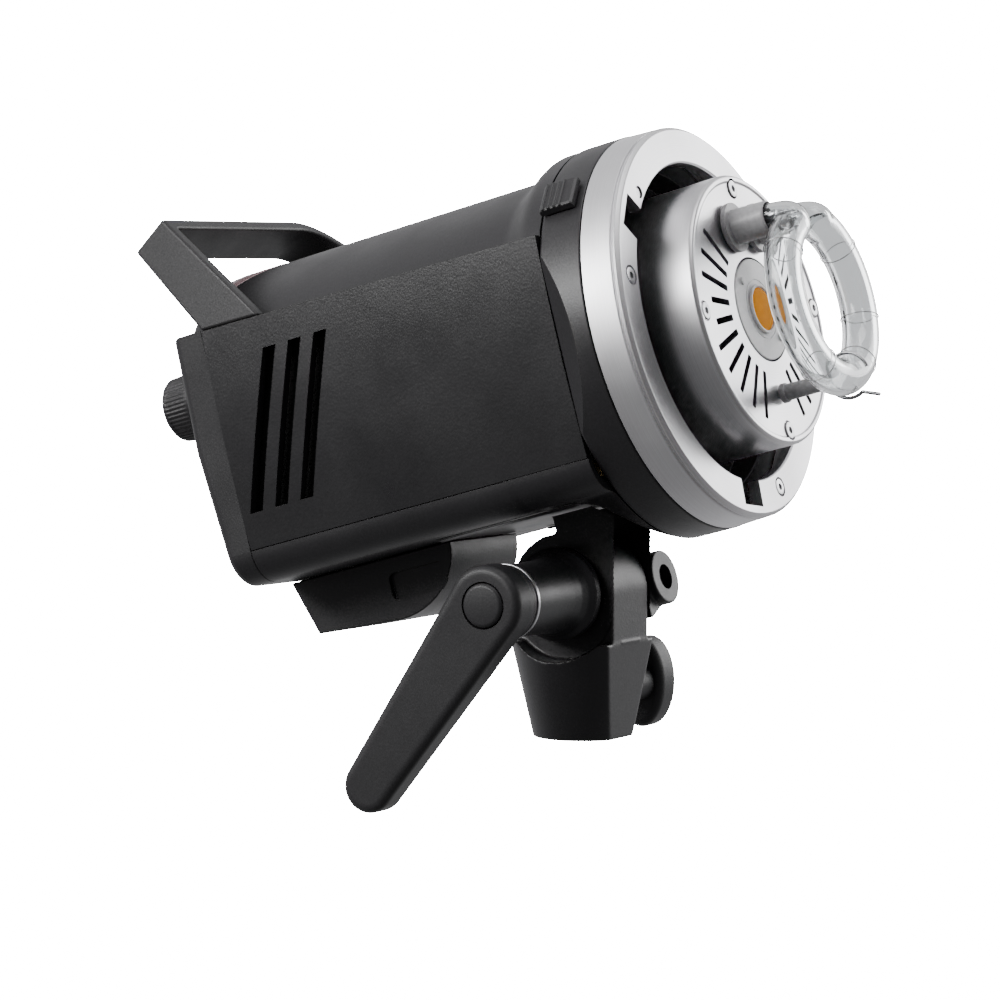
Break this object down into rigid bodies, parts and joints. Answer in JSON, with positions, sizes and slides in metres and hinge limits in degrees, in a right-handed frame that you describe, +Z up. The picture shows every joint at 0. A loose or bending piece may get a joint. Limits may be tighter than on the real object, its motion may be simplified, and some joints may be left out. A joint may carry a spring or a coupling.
{
  "type": "monolight strobe",
  "caption": "Studio flash head with a bayonet front ring, ring flash tube, LED modelling lamp, carry handle and tilting stand bracket.",
  "frame": {"origin": "centre of the mouth of the bracket's stand socket", "axes": "+Z up out of the stand, +X where the head points when level, +Y towards the stand lock knob"},
  "size_m": [0.2377, 0.1293, 0.2125],
  "materials": {
    "black_plastic": "fine grained moulded plastic",
    "side_panel_plastic": "fine grained moulded plastic, slightly glossier",
    "dark_grey_plastic": "satin moulded plastic",
    "satin_metal": "satin, lightly spun",
    "drum_metal": "satin silver",
    "steel": "plated",
    "brass": "machined",
    "clear_glass": "clear polished",
    "dark_glass": "tinted window",
    "red_lens": "translucent red",
    "ceramic": "unglazed grey",
    "white_board": "white enamel",
    "amber_phosphor": "amber phosphor",
    "circuit_board": "solder mask",
    "friction_pad": "fibre friction lining",
    "capacitor_sleeve": "shrink sleeve",
    "soft_key": "silicone key"
  },
  "bodies": {
    "bracket": {"stand_bracket": "black_plastic", "friction_disc_right": "friction_pad", "friction_disc_left": "friction_pad"},
    "head": {"main_housing": "black_plastic", "rear_cover": "black_plastic", "side_panel_right": "side_panel_plastic", "side_panel_left": "side_panel_plastic", "carry_handle": "dark_grey_plastic", "front_collar": "black_plastic", "bayonet_ring": "satin_metal", "lamp_drum": "drum_metal", "lamp_chassis": "steel", "led_heat_sink": "satin_metal", "led_plate": "white_board", "led_chip": "amber_phosphor", "flash_tube": "clear_glass", "tube_socket_right": "ceramic", "tube_socket_left": "ceramic", "electrode_right": "steel", "electrode_left": "steel", "tube_post": "ceramic", "tube_clip": "steel", "display_window": "dark_glass", "control_board": "circuit_board", "fan_frame": "black_plastic", "main_board": "circuit_board", "trigger_coil": "brass", "flash_capacitor_right": "capacitor_sleeve", "flash_capacitor_left": "capacitor_sleeve", "power_box": "black_plastic", "power_inlet": "dark_grey_plastic", "sensor_window": "red_lens", "ring_screw_1": "steel", "ring_screw_2": "steel", "ring_screw_3": "steel", "face_screw_1": "steel", "face_screw_2": "steel", "face_screw_3": "steel", "face_screw_4": "steel", "tilt_yoke": "black_plastic", "tilt_bolt": "steel", "lever_washer": "steel", "umbrella_holder": "black_plastic"},
    "clamp": {"clamp_nut": "brass", "lever_cap": "dark_grey_plastic"},
    "lever": {"tilt_lever": "dark_grey_plastic"},
    "stand_pad": {"lock_pad": "brass"},
    "stand_knob": {"lock_knob": "dark_grey_plastic"},
    "umbrella_tip": {"umbrella_pad": "brass"},
    "umbrella_thumbscrew": {"umbrella_screw": "dark_grey_plastic"},
    "release": {"release_slider": "black_plastic", "lock_pin": "steel"},
    "dial": {"control_dial": "dark_grey_plastic"},
    "rocker": {"power_rocker": "dark_grey_plastic"},
    "fan": {"fan_rotor": "dark_grey_plastic"},
    "mode_key": {"mode_button": "soft_key"},
    "group_key": {"group_button": "soft_key"},
    "lamp_key": {"lamp_button": "soft_key"},
    "test_key": {"test_button": "soft_key"}
  },
  "joints": [
    {"name": "head_tilt", "type": "hinge", "parent": "bracket", "child": "head", "pos_m": [0, 0, 0.0465], "axis": [0, -1, 0], "range_deg": [-75, 30]},
    {"name": "clamp_turn", "type": "hinge", "parent": "head", "child": "clamp", "pos_m": [0, -0.058, 0.0465], "axis": [0, -1, 0], "range_deg": [0, 60]},
    {"name": "lever_pull", "type": "slide", "parent": "clamp", "child": "lever", "axis": [0, -1, 0], "range_m": [0, 0.0045], "stiffness_N_per_m": 500, "springref_m": -0.004},
    {"name": "pad_advance", "type": "slide", "parent": "bracket", "child": "stand_pad", "axis": [0, 1, 0], "range_m": [0, 0.0025]},
    {"name": "knob_turn", "type": "hinge", "parent": "stand_pad", "child": "stand_knob", "pos_m": [0, 0.03, 0.0135], "axis": [0, 1, 0], "range_deg": [0, 720]},
    {"name": "umbrella_tip_advance", "type": "slide", "parent": "head", "child": "umbrella_tip", "axis": [0, 1, 0], "range_m": [0, 0.0016]},
    {"name": "umbrella_screw_turn", "type": "hinge", "parent": "umbrella_tip", "child": "umbrella_thumbscrew", "pos_m": [0.00171, 0.036, 0.04592], "axis": [0, 1, 0], "range_deg": [0, 720]},
    {"name": "release_slide", "type": "slide", "parent": "head", "child": "release", "axis": [-0.9659, 0, -0.2588], "range_m": [0, 0.004], "stiffness_N_per_m": 500, "springref_m": -0.002},
    {"name": "dial_turn", "type": "hinge", "parent": "head", "child": "dial", "pos_m": [-0.12211, -0.036, 0.10426], "axis": [0.9659, 0, 0.2588], "continuous": true},
    {"name": "rocker_tip", "type": "hinge", "parent": "head", "child": "rocker", "pos_m": [-0.10499, -0.03, 0.06433], "axis": [0, 1, 0], "range_deg": [-14, 0]},
    {"name": "fan_turn", "type": "hinge", "parent": "head", "child": "fan", "pos_m": [-0.01629, 0, 0.11502], "axis": [0.9659, 0, 0.2588], "continuous": true},
    {"name": "mode_press", "type": "slide", "parent": "head", "child": "mode_key", "axis": [0.9659, 0, 0.2588], "range_m": [0, 0.0008], "stiffness_N_per_m": 400, "springref_m": -0.0005},
    {"name": "group_press", "type": "slide", "parent": "head", "child": "group_key", "axis": [0.9659, 0, 0.2588], "range_m": [0, 0.0008], "stiffness_N_per_m": 400, "springref_m": -0.0005},
    {"name": "lamp_press", "type": "slide", "parent": "head", "child": "lamp_key", "axis": [0.9659, 0, 0.2588], "range_m": [0, 0.0008], "stiffness_N_per_m": 400, "springref_m": -0.0005},
    {"name": "test_press", "type": "slide", "parent": "head", "child": "test_key", "axis": [0.9659, 0, 0.2588], "range_m": [0, 0.0008], "stiffness_N_per_m": 400, "springref_m": -0.0005}
  ],
  "couplings": [
    {"joint": "knob_turn", "follows": "pad_advance", "rad_per_m": 5026.5},
    {"joint": "umbrella_screw_turn", "follows": "umbrella_tip_advance", "rad_per_m": 7853.9}
  ]
}
